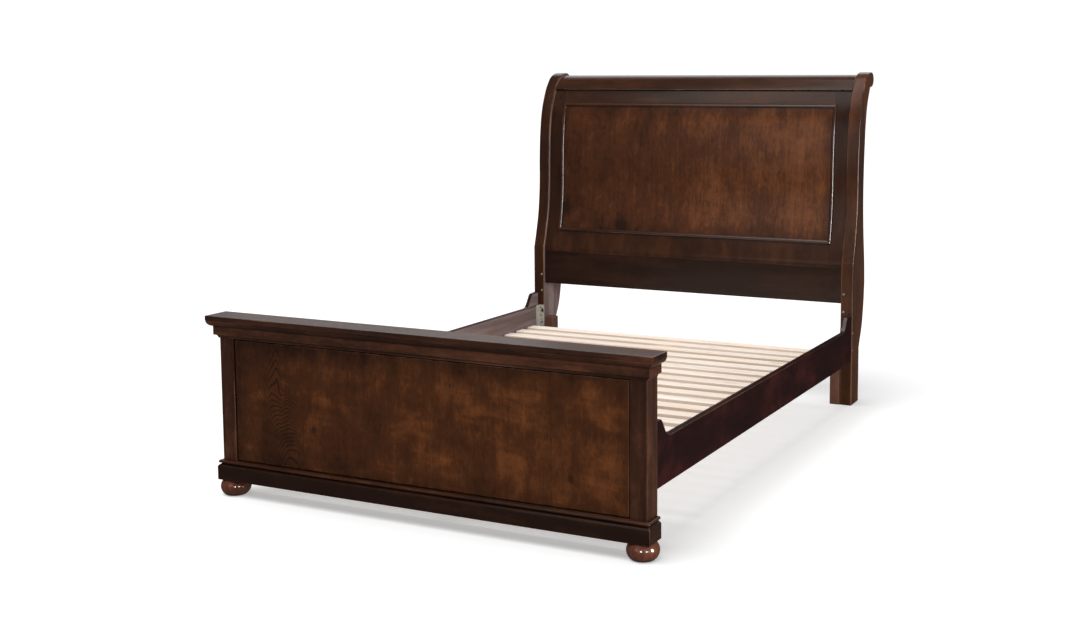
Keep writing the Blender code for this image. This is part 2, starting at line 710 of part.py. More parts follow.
def make_bracket(end, side, sign, face, into_bed):
    """A steel angle: one flange on the rail, the other on the post's face."""
    name = f"rail_bracket_{end}_{side}"
    rail_face = RAIL_INNER - JOINT_GAP
    plate = BRACKET_THICKNESS
    post_edge = HEAD_INNER if end == "head" else FOOT_INNER
    start = face + into_bed * JOINT_GAP
    outline = [
        (rail_face, start),
        (rail_face, start + into_bed * BRACKET_FLANGE),
        (rail_face - plate, start + into_bed * BRACKET_FLANGE),
        (rail_face - plate, start + into_bed * plate),
        (post_edge, start + into_bed * plate),
        (post_edge, start),
    ]
    outline = [(sign * x, y) for x, y in outline]
    curve = flat_curve(name, outline, BRACKET_HEIGHT)
    drawn = bpy.data.objects.new(name, curve)
    BED.objects.link(drawn)
    drawn.location.z = BRACKET_BOTTOM + BRACKET_HEIGHT / 2
    bpy.context.view_layer.update()
    graph = bpy.context.evaluated_depsgraph_get()
    mesh = bpy.data.meshes.new_from_object(drawn.evaluated_get(graph))
    bm = bmesh.new()
    bm.from_mesh(mesh)
    bmesh.ops.remove_doubles(bm, verts=bm.verts, dist=0.00002)
    bmesh.ops.recalc_face_normals(bm, faces=bm.faces)
    bm.to_mesh(mesh)
    bm.free()
    matrix = drawn.matrix_world.copy()
    bpy.data.objects.remove(drawn, do_unlink=True)
    obj = add_part(name, mesh, ZINC_STEEL)
    obj.matrix_world = matrix
    middle = sign * (rail_face - plate + post_edge) / 2
    for z in (
        BRACKET_BOTTOM + BRACKET_HOLE_INSET,
        BRACKET_BOTTOM + BRACKET_HEIGHT - BRACKET_HOLE_INSET,
    ):
        bore(obj, BRACKET_HOLE_RADIUS, 4 * plate, (middle, start, z), ALONG_Y)


def make_brackets():
    for side, sign in (("left", -1), ("right", 1)):
        make_bracket("foot", side, sign, FOOT_BACK, 1)
        make_bracket("head", side, sign, HEAD_FRONT, -1)


def make_slats():
    half = RAIL_INNER - SLAT_END_CLEARANCE
    for number in range(SLAT_COUNT):
        middle = SLAT_FIRST + number * SLAT_PITCH
        board(
            f"slat_{number + 1:02d}",
            (-half, half),
            (middle - SLAT_WIDTH / 2, middle + SLAT_WIDTH / 2),
            (SLAT_BOTTOM, SLAT_TOP),
            PALE_PINE,
            SLAT_ROUND,
        )


def make_centre_support():
    half = BEAM_WIDTH / 2
    board(
        "centre_beam", (-half, half), (BEAM_FRONT, BEAM_BACK), (BEAM_BOTTOM, BEAM_TOP), PALE_PINE
    )
    half = CENTRE_LEG_SIDE / 2
    first, last = BEAM_FRONT + CENTRE_LEG_INSET, BEAM_BACK - CENTRE_LEG_INSET
    for number, y in enumerate(spread(first, last, CENTRE_LEG_COUNT - 1), 1):
        board(
            f"centre_leg_{number}",
            (-half, half),
            (y - half, y + half),
            (0.0, BEAM_BOTTOM - JOINT_GAP),
            PALE_PINE,
        )


make_footboard_carcass()
make_footboard_mouldings()
make_bun_feet()
make_headboard_posts()
make_headboard_field()
make_headboard_beads()
make_crest()
make_rails()
make_brackets()
make_slats()
make_centre_support()
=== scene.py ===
import json
import math

import bmesh
import bpy
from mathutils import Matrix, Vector

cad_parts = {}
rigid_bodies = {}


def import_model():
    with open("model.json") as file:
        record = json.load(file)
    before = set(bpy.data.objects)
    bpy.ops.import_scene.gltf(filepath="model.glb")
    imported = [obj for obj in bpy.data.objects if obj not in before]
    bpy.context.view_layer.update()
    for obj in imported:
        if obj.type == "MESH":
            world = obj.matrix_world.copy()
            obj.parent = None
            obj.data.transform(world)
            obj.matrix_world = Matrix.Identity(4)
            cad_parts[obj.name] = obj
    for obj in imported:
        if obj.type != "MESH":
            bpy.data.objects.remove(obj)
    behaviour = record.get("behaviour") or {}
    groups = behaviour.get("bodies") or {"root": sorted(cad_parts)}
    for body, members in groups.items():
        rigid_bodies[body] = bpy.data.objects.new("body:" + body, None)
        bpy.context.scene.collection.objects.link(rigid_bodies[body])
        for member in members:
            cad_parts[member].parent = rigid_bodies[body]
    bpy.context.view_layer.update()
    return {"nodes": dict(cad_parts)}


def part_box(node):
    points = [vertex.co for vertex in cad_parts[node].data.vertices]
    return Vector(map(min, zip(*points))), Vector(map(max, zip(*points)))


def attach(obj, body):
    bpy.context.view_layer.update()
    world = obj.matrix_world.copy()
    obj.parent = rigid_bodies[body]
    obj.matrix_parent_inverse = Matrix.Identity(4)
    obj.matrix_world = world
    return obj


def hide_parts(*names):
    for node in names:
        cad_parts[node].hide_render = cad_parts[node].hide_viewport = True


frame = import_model()
hairGap = 0.0003  # metres left between pieces that touch, as in the solid model
print("frame loaded:", len(frame["nodes"]), "solids")


# Shader maths: a socket that takes part in ordinary expressions

class Flow:
    def __init__(self, finish, socket):
        self.finish = finish
        self.socket = socket

    def math(self, operation, *others):
        return self.finish.make("Math", {"operation": operation}, dict(enumerate(others)))

    def __add__(self, other):
        return self.math("ADD", self, other)

    __radd__ = __add__

    def __mul__(self, other):
        return self.math("MULTIPLY", self, other)

    __rmul__ = __mul__

    def __sub__(self, other):
        return self.math("SUBTRACT", self, other)

    def __rsub__(self, other):
        return self.math("SUBTRACT", other, self)

    def __truediv__(self, other):
        return self.math("DIVIDE", self, other)

    def __pow__(self, other):
        return self.math("POWER", self, other)

    def least(self, other):
        return self.math("MINIMUM", self, other)

    def most(self, other):
        return self.math("MAXIMUM", self, other)

    def sine(self):
        return self.math("SINE", self)

    def size(self):
        return self.math("ABSOLUTE", self)

    def part(self):
        return self.math("FRACT", self)

    def ease(self, low, high):
        # 0 below low, 1 above high, smooth between
        settings = {"interpolation_type": "SMOOTHSTEP"}
        return self.finish.make("MapRange", settings, {0: self, 1: low, 2: high})


class Finish:
    def __init__(self, name):
        self.material = bpy.data.materials.new(name)
        self.material.use_nodes = True
        self.tree = self.material.node_tree
        self.tree.nodes.clear()

    def make(self, kind, settings=None, values=None, output=0):
        node = self.tree.nodes.new("ShaderNode" + kind)
        for key, value in (settings or {}).items():
            if key == "stops":
                ramp = node.color_ramp
                while len(ramp.elements) < len(value):
                    ramp.elements.new(1.0)
                for stop, (place, colour) in zip(ramp.elements, value):
                    stop.position, stop.color = place, colour
            elif key == "steps":
                node.color_ramp.interpolation = value
            else:
                setattr(node, key, value)
        for key, value in (values or {}).items():
            if isinstance(value, Flow):
                self.tree.links.new(value.socket, node.inputs[key])
            else:
                node.inputs[key].default_value = value
        return Flow(self, node.outputs[output]) if node.outputs else None

    def place(self):
        spot = self.make("TexCoord", output="Object")
        return [self.make("SeparateXYZ", {}, {0: spot}, output=i) for i in range(3)]

    def noise(self, x, y, z, detail=3.0, roughness=0.5, twist=0.0):
        spot = self.make("CombineXYZ", {}, {0: x, 1: y, 2: z})
        values = {"Vector": spot, "Scale": 1.0, "Detail": detail, "Roughness": roughness,
                  "Distortion": twist}
        return self.make("TexNoise", {}, values)

    def mix(self, share, first, second, blend="MIX"):
        settings = {"data_type": "RGBA", "blend_type": blend}
        return self.make("Mix", settings, {0: share, 6: first, 7: second}, output=2)

    def shade(self, colour, roughness, height, lift, **constants):
        # lift is the depth in metres of the relief that height stands for
        relief = self.make("Bump", {}, {"Height": height, "Distance": lift, "Strength": 1.0})
        values = {"Base Color": colour, "Roughness": roughness, "Normal": relief}
        values.update({key.replace("_", " "): value for key, value in constants.items()})
        shader = self.make("BsdfPrincipled", {}, values)
        self.make("OutputMaterial", {}, {"Surface": shader})
        return self.material


def tint(red, green, blue):
    # a screen colour, 0 to 255, as the linear colour that a shader takes
    def linear(v):
        v = v / 255
        return v / 12.92 if v <= 0.04045 else ((v + 0.055) / 1.055) ** 2.4

    return (linear(red), linear(green), linear(blue), 1.0)


# Finishes

# dark, middle and warm are the stain's colours; cloud is how many to a metre, how stretched and
# how strong; streaks how many and how strong; figure is the growth rings; polish is the lacquer
stains = {
    "frame": {
        "dark": (28, 14, 7), "middle": (51, 27, 13), "warm": (80, 44, 22),
        "cloud": (5.0, 0.30, 0.9), "flame": 0.1, "streaks": (26.0, 0.55), "speckle": 0.20,
        "figure": 0.12, "sheen": 0.34, "gloss": 0.24, "polish": 0.28, "polishBlur": 0.18,
    },
    "footFrame": {
        "dark": (32, 17, 10), "middle": (60, 33, 20), "warm": (102, 60, 39),
        "cloud": (6.0, 0.30, 1.0), "flame": 0.15, "streaks": (30.0, 0.85), "speckle": 0.30,
        "figure": 0.12, "sheen": 0.34, "gloss": 0.24, "polish": 0.45, "polishBlur": 0.16,
    },
    "darkFrame": {
        "dark": (22, 11, 6), "middle": (36, 18, 10), "warm": (58, 31, 18),
        "cloud": (5.0, 0.30, 0.9), "flame": 0.1, "streaks": (26.0, 0.55), "speckle": 0.25,
        "figure": 0.12, "sheen": 0.36, "gloss": 0.24, "polish": 0.40, "polishBlur": 0.16,
    },
    "bead": {
        "dark": (30, 16, 10), "middle": (50, 27, 16), "warm": (72, 40, 24),
        "cloud": (5.0, 0.30, 0.9), "flame": 0.0, "streaks": (26.0, 0.4), "speckle": 0.10,
        "figure": 0.0, "sheen": 0.30, "gloss": 0.40, "polish": 1.0, "polishBlur": 0.12,
    },
    "veneer": {
        "dark": (40, 19, 8), "middle": (73, 38, 15), "warm": (116, 64, 28),
        "cloud": (7.5, 0.85, 0.80), "flame": 0.55, "streaks": (34.0, 0.34), "speckle": 0.40,
        "figure": 0.60, "sheen": 0.36, "gloss": 0.24, "polish": 0.30, "polishBlur": 0.22,
    },
    "plainVeneer": {
        "dark": (38, 18, 8), "middle": (76, 40, 18), "warm": (120, 70, 37),
        "cloud": (6.5, 0.50, 0.72), "flame": 0.20, "streaks": (60.0, 0.40), "speckle": 0.40,
        "figure": 0.12, "sheen": 0.36, "gloss": 0.24, "polish": 0.30, "polishBlur": 0.22,
    },
    "rail": {
        "dark": (19, 8, 8), "middle": (32, 12, 11), "warm": (60, 24, 20),
        "cloud": (7.0, 0.70, 0.9), "flame": 0.2, "streaks": (22.0, 0.3), "speckle": 0.30,
        "figure": 0.06, "sheen": 0.50, "gloss": 0.12, "polish": 0.0, "polishBlur": 0.25,
    },
    "railEar": {
        "dark": (22, 9, 9), "middle": (36, 15, 14), "warm": (56, 24, 20),
        "cloud": (7.0, 0.70, 0.9), "flame": 0.0, "streaks": (22.0, 0.3), "speckle": 0.10,
        "figure": 0.0, "sheen": 0.30, "gloss": 0.4, "polish": 1.0, "polishBlur": 0.03,
    },
    "leg": {
        "dark": (62, 36, 26), "middle": (86, 55, 44), "warm": (108, 76, 63),
        "cloud": (7.0, 0.40, 0.8), "flame": 0.0, "streaks": (30.0, 0.5), "speckle": 0.20,
        "figure": 0.10, "sheen": 0.48, "gloss": 0.25, "polish": 0.0, "polishBlur": 0.25,
    },
    "turned": {
        "dark": (46, 23, 15), "middle": (76, 41, 27), "warm": (110, 64, 42),
        "cloud": (14.0, 0.50, 0.9), "flame": 0.0, "streaks": (60.0, 0.5), "speckle": 0.10,
        "figure": 0.15, "sheen": 0.22, "gloss": 0.5, "polish": 1.0, "polishBlur": 0.04,
    },
    # the first colour and the reach on the next line are painted shade in hollows and joints
    "glaze": (14, 7, 4), "glazeReach": 0.013, "rubbed": (116, 80, 58), "ring": (18, 9, 6),
    "knot": (22, 12, 8), "darkLeaf": (30, 14, 6), "joint": (20, 11, 7),
    "leafWidth": 0.42, "ringSteepness": 6.0, "ringPitch": 250.0, "figureAt": -0.40,
    "blockReach": 1.5, "blotches": 0.32, "borderShade": 0.14, "lacquerRelief": 0.00005,
}


def stainedWood(name, stain, along, worn=0.0, border=None, knots=(), seam=None, drift=0.0,
                blocks=()):
    # Stained and lacquered wood with its grain along one axis. Its wear share lightens it, as on a
    # rubbed edge, and also paints highlights on the eased arrises; border is (lowest, highest,
    # width) of a face that is shaded darker towards its edges; its light share paints light growing
    # towards +X, as if lit from the right.
    look = stains[stain]
    finish = Finish(name)
    x, y, z = finish.place()
    lot = finish.make("ObjectInfo", output="Random")
    run, across, depth = {"X": (x, z, y), "Y": (y, z, x), "Z": (z, x, y)}[along]
    shifted = across + lot * 13.7
    wide, stretch, cloudy = look["cloud"]
    fine, streaky = look["streaks"]
    # each pattern's fineness, as waves to a metre across, through and along the grain
    wander = finish.noise(shifted * 6.0, depth * 6.0, run * 3.0, 2.0)
    streak = finish.noise(shifted * fine, depth * fine, run * 2.2, 4.0, 0.6)
    cloud = finish.noise(shifted * wide, depth * wide, run * wide * stretch, 3.0, 0.55, 0.35)
    blotch = finish.noise(shifted * wide * 3.1, depth * 12.0, run * wide * 2.3, 3.0, 0.6, 0.3)
    flame = finish.noise(shifted * 6.0 + run * 9.0, depth * 8.0, run * 26.0, 3.0, 0.6, 0.5)
    speckle = finish.noise(shifted * 95.0, depth * 95.0, run * 42.0, 3.0, 0.65)
    fibre = finish.noise(shifted * 420.0, depth * 420.0, run * 9.0, 3.0, 0.6)
    pores = finish.noise(shifted * 1300.0, depth * 1300.0, run * 38.0, 1.0)
    tone = (cloud - 0.5) * cloudy + (blotch - 0.5) * stains["blotches"]
    tone = tone + (streak - 0.5) * streaky + 0.5
    tone = tone + (flame - 0.5) * cloud.ease(0.42, 0.62) * look["flame"]
    tone = tone + (speckle - 0.5) * look["speckle"]
    # painted light: lighter towards +X, as though lit more from the right
    if drift:
        tone = tone + x * drift
    if border:
        low, high, width = border
        rim = ((x - low[0]).least(high[0] - x)).least((z - low[2]).least(high[2] - z))
        ragged = (rim + (cloud - 0.5) * width * 0.8) / width
        tone = tone - (1.0 - ragged.ease(0.0, 1.0)) * stains["borderShade"]
    stops = [(0.15, "dark"), (0.50, "middle"), (0.88, "warm")]
    stops = [(place, tint(*look[shade])) for place, shade in stops]
    colour = finish.make("ValToRGB", {"stops": stops}, {0: tone})
    # nested arches of the growth rings, in leaves side by side, round one place across
    leaf = (across / stains["leafWidth"] + wander * 0.45 + 0.60).part() - 0.5
    rings = (run + leaf * leaf * stains["ringSteepness"] + wander * 0.40) * stains["ringPitch"]
    patchy = 1.0 - (across + wander * 0.3 - stains["figureAt"]).size().ease(0.03, 0.26)
    lines = rings.sine().ease(0.20, 1.0) * (1.0 - (leaf.size() * 2.0).ease(0.20, 0.7)) * patchy
    darken = lines * look["figure"] + pores.ease(0.58, 0.75) * 0.20 + (fibre - 0.5) * 0.45
    darken = darken + (speckle - 0.62).most(0.0) * look["speckle"] * 3.0
    colour = finish.mix(darken.most(0.0).least(1.0), colour, tint(*stains["ring"]))
    for knotX, knotZ, size in knots:
        away = ((x - knotX) * (x - knotX) * 2.2 + (z - knotZ) * (z - knotZ)) ** 0.5
        spot = 1.0 - (away / size + (blotch - 0.5) * 1.2).ease(0.30, 1.0)
        colour = finish.mix(spot * 0.55, colour, tint(*stains["knot"]))
    if seam is not None:
        # a veneer joint, with the leaf on one side a little darker
        beside = (x - seam).ease(-0.0008, 0.0008)
        colour = finish.mix(beside * 0.10, colour, tint(*stains["darkLeaf"]))
        line = 1.0 - (x - seam).size().ease(0.0004, 0.0014)
        colour = finish.mix(line * 0.45, colour, tint(*stains["joint"]))
    if blocks:
        # glued up from blocks of slightly different tone, at shares of the blocks' reach; where a
        # post's greys are set high this is painted light
        marks = [(0.0, (0.5, 0.5, 0.5, 1.0))]
        marks += [(share, (grey, grey, grey, 1.0)) for share, grey in blocks]
        level = z / stains["blockReach"]
        grade = finish.make("ValToRGB", {"stops": marks, "steps": "CONSTANT"}, {0: level})
        colour = finish.mix(0.6, colour, grade, "OVERLAY")
    # rubbed wear, which also paints highlights where the eased arrises would catch the light
    if worn:
        wornLitPatch = streak.ease(0.42, 0.62) * worn
        colour = finish.mix(wornLitPatch, colour, tint(*stains["rubbed"]))
    # painted shade: darker where ambient occlusion finds the surface hemmed in, in corners, quirks
    # and the joints between pieces
    nearby = {"Distance": stains["glazeReach"]}
    openness = finish.make("AmbientOcclusion", {"samples": 6}, nearby, output="AO")
    colour = finish.mix((1.0 - openness.ease(0.30, 0.80)) * 0.8, colour, tint(*stains["glaze"]))
    roughness = blotch * 0.10 + fibre * 0.06 + (look["sheen"] - 0.08)
    height = fibre * 0.5 - pores.ease(0.58, 0.75) * 0.6
    return finish.shade(
        colour, roughness, height, stains["lacquerRelief"],
        Specular_IOR_Level=look["gloss"], Coat_Weight=min(1.0, look["polish"] + worn * 0.6),
        Coat_Roughness=look["polishBlur"],
    )


def paleWood(name, top=(238, 230, 222), streak=(226, 209, 193)):
    # planed, unfinished pine with fine lines, small knots and a few stained streaks
    finish = Finish(name)
    x, y, z = finish.place()
    lot = finish.make("ObjectInfo", output="Random")
    seed = lot * 57.0
    wander = finish.noise(x * 2.2, y * 9.0 + seed, z * 9.0, 2.0)
    bands = (y + z * 0.8 + wander * 0.05) * 620.0 + seed
    lines = bands.sine().ease(-0.2, 1.0)
    fibre = finish.noise(x * 9.0, y * 700.0 + seed, z * 700.0, 3.0, 0.6)
    broad = finish.noise(x * 1.6 + seed, y * 30.0, z * 30.0, 3.0, 0.6)
    colour = finish.mix(broad.ease(0.38, 0.70), tint(*top), tint(*streak))
    colour = finish.mix(lines * wander.ease(0.35, 0.7) * 0.30, colour, tint(196, 172, 148))
    colour = finish.mix((fibre.ease(0.5, 0.8)) * 0.30, colour, tint(186, 152, 122))
    cells = finish.make("CombineXYZ", {}, {0: x * 1.7 + seed, 1: y * 8.0, 2: z * 8.0})
    knot = finish.make("TexVoronoi", {}, {"Vector": cells, "Scale": 1.0, "Randomness": 1.0})
    colour = finish.mix((1.0 - knot.ease(0.03, 0.09)) * 0.6, colour, tint(150, 98, 58))
    warmth = (lot * 7.31).part()
    colour = finish.mix(warmth * 0.30, colour, tint(212, 190, 170))
    return finish.shade(
        colour, 0.62 + fibre * 0.1, fibre + lines * 0.4, 0.00015, Specular_IOR_Level=0.25
    )


def innerWood(name, along="Y"):
    # the grey, thinly stained wood inside the bed, its greyness partly a painted sheen on the inner
    # faces
    finish = Finish(name)
    x, y, z = finish.place()
    lot = finish.make("ObjectInfo", output="Random")
    run, across, depth = (y, z, x) if along == "Y" else (z, x, y)
    streak = finish.noise(run * 2.0 + lot * 9.0, across * 30.0, depth * 30.0, 4.0, 0.6)
    cloud = finish.noise(run * 3.0, across * 12.0, depth * 12.0, 3.0)
    fibre = finish.noise(run * 10.0, across * 500.0, depth * 500.0, 3.0, 0.6)
    colour = finish.mix(streak.ease(0.3, 0.7), tint(92, 76, 74), tint(128, 109, 106))
    colour = finish.mix(cloud.ease(0.50, 0.72) * 0.55, colour, tint(112, 66, 50))
    colour = finish.mix((fibre - 0.45).most(0.0) * 1.4, colour, tint(54, 38, 34))
    return finish.shade(colour, 0.50 + fibre * 0.1, fibre, 0.00010, Specular_IOR_Level=0.35)


def zincSteel(name, shade=(186, 181, 168), metal=0.35):
    finish = Finish(name)
    x, y, z = finish.place()
    cells = finish.make("CombineXYZ", {}, {0: x * 140.0, 1: y * 140.0, 2: z * 140.0})
    spangle = finish.make(
        "TexVoronoi", {}, {"Vector": cells, "Scale": 1.0, "Randomness": 1.0}, output="Color"
    )
    grey = finish.make("RGBToBW", {}, {0: spangle})
    stain = finish.noise(x * 45.0, y * 45.0, z * 45.0, 3.0)
    duller = tuple(int(v * 0.72) for v in shade)
    colour = finish.mix(grey * 0.35 + stain.ease(0.4, 0.75) * 0.4, tint(*shade), tint(*duller))
    return finish.shade(colour, 0.34 + grey * 0.16, stain, 0.00005, Metallic=metal)


finishes = {}


def finishFor(kind, along="Z", worn=0.0, **extra):
    key = f"{kind}{along}" + ("Worn" if worn else "") + extra.pop("tag", "")
    if key not in finishes:
        finishes[key] = stainedWood(key, kind, along, worn, **extra)
    return finishes[key]


finishes["pine"] = paleWood("palePine")
# a darker copy of the pine: painted shade for the slats' front and back edges
finishes["pineEdge"] = paleWood("palePineEdge", (222, 203, 184), (198, 170, 144))
finishes["inner"] = innerWood("innerWood")
# on the headboard posts' inner faces this grey is painted sheen
finishes["postInner"] = innerWood("postInnerWood", "Z")
finishes["zinc"] = zincSteel("zincSteel")
finishes["bolt"] = zincSteel("boltSteel", (58, 52, 46), 0.6)
print("finishes ready")


# Mesh helpers. Every mesh is made in the frame's own coordinates, so its object sits at the origin

def meshFrom(bm, name):
    bmesh.ops.recalc_face_normals(bm, faces=bm.faces)
    mesh = bpy.data.meshes.new(name)
    bm.to_mesh(mesh)
    bm.free()
    mesh.shade_smooth()
    return mesh


def addPiece(name, mesh, materials, stands=()):
    piece = bpy.data.objects.new(name, mesh)
    bpy.context.scene.collection.objects.link(piece)
    for material in materials:
        mesh.materials.append(material)
    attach(piece, "root")
    if stands:
        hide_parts(*stands)
    return piece


def easeEdges(piece, width, segments=3, angle=40.0):
    # rounds the arrises, gives them the piece's second finish, and keeps flat faces flat
    bevel = piece.modifiers.new("eased edges", "BEVEL")
    bevel.width = width
    bevel.segments = segments
    bevel.limit_method = "ANGLE"
    bevel.angle_limit = math.radians(angle)
    bevel.use_clamp_overlap = True
    if len(piece.data.materials) > 1:
        bevel.material = 1
    even = piece.modifiers.new("even normals", "WEIGHTED_NORMAL")
    even.keep_sharp = True


def boxMesh(name, low, high):
    bm = bmesh.new()
    bmesh.ops.create_cube(bm, size=1.0)
    low, high = Vector(low), Vector(high)
    bmesh.ops.scale(bm, vec=high - low, verts=bm.verts)
    bmesh.ops.translate(bm, vec=(low + high) / 2, verts=bm.verts)
    return meshFrom(bm, name)


def loftMesh(name, rings):
    # faces between successive rings of points, with both ends filled
    bm = bmesh.new()
    made = [[bm.verts.new(point) for point in ring] for ring in rings]
    for near, far in zip(made, made[1:]):
        count = len(near)
        for i in range(count):
            j = (i + 1) % count
            bm.faces.new((near[i], near[j], far[j], far[i]))
    bm.faces.new(made[0])
    bm.faces.new(made[-1])
    return meshFrom(bm, name)


def cutMesh(name, outline, low, high):
    # a board cut to an outline of (Y, Z) points, between two X planes
    return loftMesh(name, [[(x, y, z) for y, z in outline] for x in (low, high)])


def turnedMesh(name, section, centre, axis="Z", steps=48):
    # a section of (radius, height) points turned about an axis through a centre
    bm = bmesh.new()
    line = [bm.verts.new((radius, 0.0, height)) for radius, height in section]
    edges = [bm.edges.new(pair) for pair in zip(line, line[1:])]
    bmesh.ops.spin(
        bm, geom=line + edges, axis=(0, 0, 1), cent=(0, 0, 0), angle=2 * math.pi, steps=steps
    )
    bmesh.ops.remove_doubles(bm, verts=bm.verts, dist=0.000005)
    swap = {"X": lambda p: (p.z, p.x, p.y), "Y": lambda p: (p.x, p.z, p.y), "Z": lambda p: p}[axis]
    for vert in bm.verts:
        vert.co = Vector(swap(vert.co.copy())) + Vector(centre)
    return meshFrom(bm, name)


def woodenBoard(name, node, stain, along, ease=0.0015):
    # a plain board with its edges eased, a little rubbed and lightened with a painted highlight
    materials = [finishFor(stain, along), finishFor(stain, along, 0.55)]
    piece = addPiece(name, boxMesh(name, *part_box(node)), materials, [node])
    easeEdges(piece, ease)


def spread(low, high, steps):
    return [low + (high - low) * i / steps for i in range(steps + 1)]


def arc(centre, radius, start, end, steps):
    turns = [math.radians(angle) for angle in spread(start, end, steps)]
    return [(centre[0] + radius * math.cos(t), centre[1] + radius * math.sin(t)) for t in turns]


def bezier(a, b, c, d, steps):
    points = []
    for t in spread(0.0, 1.0, steps)[1:]:
        weights = ((1 - t) ** 3, 3 * t * (1 - t) ** 2, 3 * t * t * (1 - t), t ** 3)
        points.append(tuple(sum(w * p[i] for w, p in zip(weights, (a, b, c, d))) for i in (0, 1)))
    return points


# Footboard

footLow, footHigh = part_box("foot_post_left")[0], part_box("foot_post_right")[1]
footLook = {
    "front": footLow.y, "half": footHigh.x,
    "capEase": 0.0025, "postEase": 0.002,
}
mouldings = {
    "crown": {"node": "foot_crown", "flat": 0.016, "reach": 0.033,
              "swell": [(0.025, 0.002), (0.031, 0.008)]},
    "frieze": {"node": "foot_frieze", "flat": 0.015, "cove": 0.012,
               "lip": [(0.0, 0.0), (0.0026, 0.0002), (0.0034, 0.0014), (0.0030, 0.0026)]},
    "bead": {"node": "foot_base_bead", "reach": 0.0125},
    "plinth": {"node": "foot_plinth", "flat": 0.015, "ogee": 0.012, "quirk": 0.003,
               "fullness": (0.014, 0.009)},
    "back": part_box("foot_crown")[1].y, "edgeRound": 0.0014, "mitre": 0.0001,
}


def mouldingSections():
    # each moulding's ring of (out from the posts, Z) points
    crown, frieze, bead, plinth = (mouldings[k] for k in ("crown", "frieze", "bead", "plinth"))
    low, high = (p.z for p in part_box(crown["node"]))
    under = (crown["flat"], low)
    aims = [(out, low + up) for out, up in crown["swell"]]
    swell = bezier(under, *aims, (crown["reach"], high), 14)
    yield "footCrown", crown["node"], [(0.0, low), under] + swell + [(0.0, high)]
    low, high = (p.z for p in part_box(frieze["node"]))
    flat, deep = frieze["flat"], frieze["cove"]
    ring = [(out, low + up) for out, up in frieze["lip"]]
    ring += arc((flat, low), deep, 180, 90, 12)[2:-1]
    ring += [(flat, low + deep), (flat, high), (0.0, high)]
    yield "footFrieze", frieze["node"], ring
    low, high = (p.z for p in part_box(bead["node"]))
    nose = (high - low) / 2
    ring = [(0.0, low)] + arc((bead["reach"] - nose, low + nose), nose, -90, 90, 16)
    yield "footBead", bead["node"], ring + [(0.0, high)]
    low, high = (p.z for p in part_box(plinth["node"]))
    flat, half = plinth["flat"], high - plinth["ogee"] / 2
    shoulder = (flat, high - plinth["ogee"])
    aims = [(out, half) for out in plinth["fullness"]]
    ring = [(0.0, low), (flat, low), shoulder]
    ring += bezier(shoulder, *aims, (plinth["quirk"], high), 14)
    yield "footPlinth", plinth["node"], ring + [(0.0, high)]


def mouldedRuns():
    # each moulding in three lengths, mitred at the front corners
    back, mitre = mouldings["back"], mouldings["mitre"]
    front, half = footLook["front"], footLook["half"]
    for name, node, section in mouldingSections():
        for side in ("Left", "Front", "Right"):
            rings = []
            for end in (-1, 1):
                ring = []
                for out, z in section:
                    reach = out + hairGap
                    if side == "Front":
                        ring.append((end * (half + reach - mitre), front - reach, z))
                    else:
                        sign = -1 if side == "Left" else 1
                        y = back if end > 0 else front - reach + mitre
                        ring.append((sign * (half + reach), y, z))
                rings.append(ring)
            along = "X" if side == "Front" else "Y"
            stain = "darkFrame" if name == "footPlinth" else "footFrame"
            materials = [finishFor(stain, along), finishFor("footFrame", along, 0.8)]
            mesh = loftMesh(name + side, rings)
            piece = addPiece(name + side, mesh, materials, [node])
            easeEdges(piece, mouldings["edgeRound"], 3, 50.0)


panelLook = {
    "groove": 0.0045,  # width of the channel round the panel
    "grooveDepth": 0.004,
    "ease": 0.0016,
    # the last of these lightens the foot panels towards +X, painted light from the right
    "border": 0.085, "seam": 0.48, "drift": 0.10,
    "knots": [(-0.42, 0.27, 0.018), (0.12, 0.47, 0.012), (0.55, 0.22, 0.020)],
}


def groovedPanel(name, node, sign, look):
    # a veneered panel with a narrow channel round its face, towards sign along Y
    low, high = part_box(node)
    face, deep = (low.y, high.y) if sign < 0 else (high.y, low.y)
    step = look["grooveDepth"] * (1 if sign < 0 else -1)
    wide = look["groove"]
    rings = []
    for inset, y in ((0.0, deep), (0.0, face + step), (wide * 0.8, face + step), (wide, face)):
        a, b, c, d = low.x + inset, high.x - inset, low.z + inset, high.z - inset
        rings.append([(a, y, c), (b, y, c), (b, y, d), (a, y, d)])
    border = (tuple(low), tuple(high), look["border"])
    veneer = finishFor(
        "veneer", "Z", tag=name, border=border, knots=look["knots"], seam=look["seam"],
        drift=look["drift"],
    )
    materials = [veneer, finishFor("veneer", "Z", 0.7)]
    piece = addPiece(name, loftMesh(name, rings), materials, [node])
    easeEdges(piece, look["ease"], 3, 25.0)


bunLook = {"radius": 0.0515, "swell": 0.040, "middle": 0.0285}


def bunFoot(name, node):
    low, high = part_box(node)
    centre = ((low.x + high.x) / 2, (low.y + high.y) / 2, 0.0)
    radius, swell, middle = bunLook["radius"], bunLook["swell"], bunLook["middle"]
    highest, lowest = math.asin((high.z - middle) / swell), -math.asin(middle / swell)
    section = [(0.0, high.z)]
    for turn in spread(highest, lowest, 28):
        section.append((radius * math.cos(turn), middle + swell * math.sin(turn)))
    section.append((0.0, 0.0))
    mesh = turnedMesh(name, section, centre, steps=72)
    mesh.set_sharp_from_angle(angle=math.radians(35))
    addPiece(name, mesh, [finishFor("turned", "Z")], [node])


